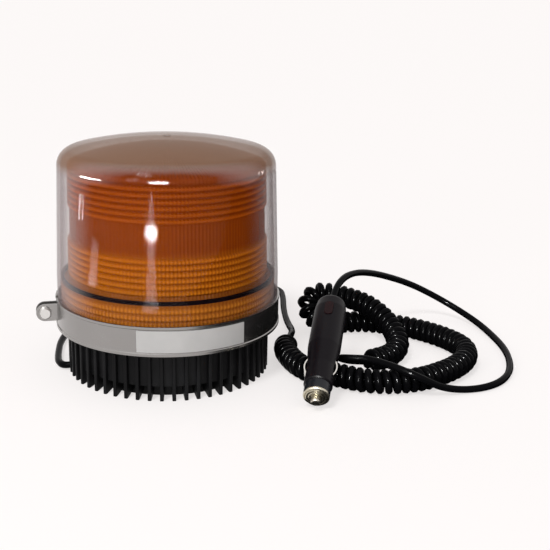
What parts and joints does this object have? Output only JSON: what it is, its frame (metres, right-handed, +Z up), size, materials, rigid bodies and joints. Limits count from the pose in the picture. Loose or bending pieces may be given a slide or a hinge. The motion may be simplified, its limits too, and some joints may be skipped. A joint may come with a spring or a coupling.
{
  "type": "magnetic beacon light",
  "caption": "Magnetic-mount amber strobe beacon with a clear dome, ribbed lens, clamp band, finned rubber boot, curly cord and lighter-socket plug.",
  "frame": {"origin": "centre of the magnet's resting face, on the lamp's axis", "axes": "+Z up along the lamp's axis, +X towards the cord and plug, the plug's nose towards -Y"},
  "size_m": [0.3306, 0.2601, 0.1571],
  "materials": {
    "boot_rubber": "satin",
    "magnet_ferrite": "matt",
    "plated_steel": "satin",
    "housing_plastic": "matt",
    "screw_steel": "bright",
    "seal_rubber": "matt",
    "board_laminate": "satin",
    "transformer_core": "matt",
    "capacitor_sleeve": "gloss",
    "trigger_can": "gloss",
    "deck_white": "gloss",
    "holder_plastic": "satin",
    "tube_glass": "polished",
    "amber_plastic": "gloss, translucent amber",
    "clear_plastic": "polished clear plastic",
    "band_steel": "bright stainless",
    "cord_jacket": "semi-gloss",
    "plug_plastic": "semi-gloss",
    "plug_metal": "nickel plated",
    "plug_brass": "polished",
    "fuse_glass": "polished",
    "spring_steel": "bright",
    "indicator_red": "gloss, translucent red"
  },
  "bodies": {
    "root": {"finned_boot": "boot_rubber", "holding_magnet": "magnet_ferrite", "magnet_plate": "plated_steel", "base_housing": "housing_plastic", "base_screws": "screw_steel", "flange_gasket": "seal_rubber", "cord_grommet": "seal_rubber", "board_standoffs": "screw_steel", "circuit_board": "board_laminate", "transformer": "transformer_core", "flash_capacitor": "capacitor_sleeve", "trigger_coil": "trigger_can", "deck_plate": "deck_white", "tube_holder": "holder_plastic", "flash_tube": "tube_glass", "amber_lens": "amber_plastic", "lens_ring": "seal_rubber", "clear_dome": "clear_plastic", "clamp_band": "band_steel", "clamp_screw": "screw_steel", "clamp_nut": "screw_steel", "lamp_lead": "cord_jacket", "coiled_cord": "cord_jacket", "plug_lead": "cord_jacket", "plug_shell_left": "plug_plastic", "plug_shell_right": "plug_plastic", "plug_screw": "screw_steel", "plug_ring_cap": "plug_metal", "fuse_spring": "spring_steel", "plug_indicator": "indicator_red", "plug_sleeve": "plug_plastic"},
    "tip": {"plug_tip_pin": "plug_brass", "plug_fuse": "fuse_glass"},
    "left_contact": {"side_contact_left": "plug_metal"},
    "right_contact": {"side_contact_right": "plug_metal"}
  },
  "joints": [
    {"name": "tip_press", "type": "slide", "parent": "root", "child": "tip", "axis": [0.2399, 0.8734, 0.4239], "range_m": [0, 0.0025], "stiffness_N_per_m": 800, "springref_m": -0.002, "deforming": ["fuse_spring"]},
    {"name": "left_contact_press", "type": "slide", "parent": "root", "child": "left_contact", "axis": [0.9643, -0.2649, 0], "range_m": [0, 0.0012], "stiffness_N_per_m": 400, "springref_m": -0.001},
    {"name": "right_contact_press", "type": "slide", "parent": "root", "child": "right_contact", "axis": [-0.9643, 0.2649, 0], "range_m": [0, 0.0012], "stiffness_N_per_m": 400, "springref_m": -0.001}
  ]
}
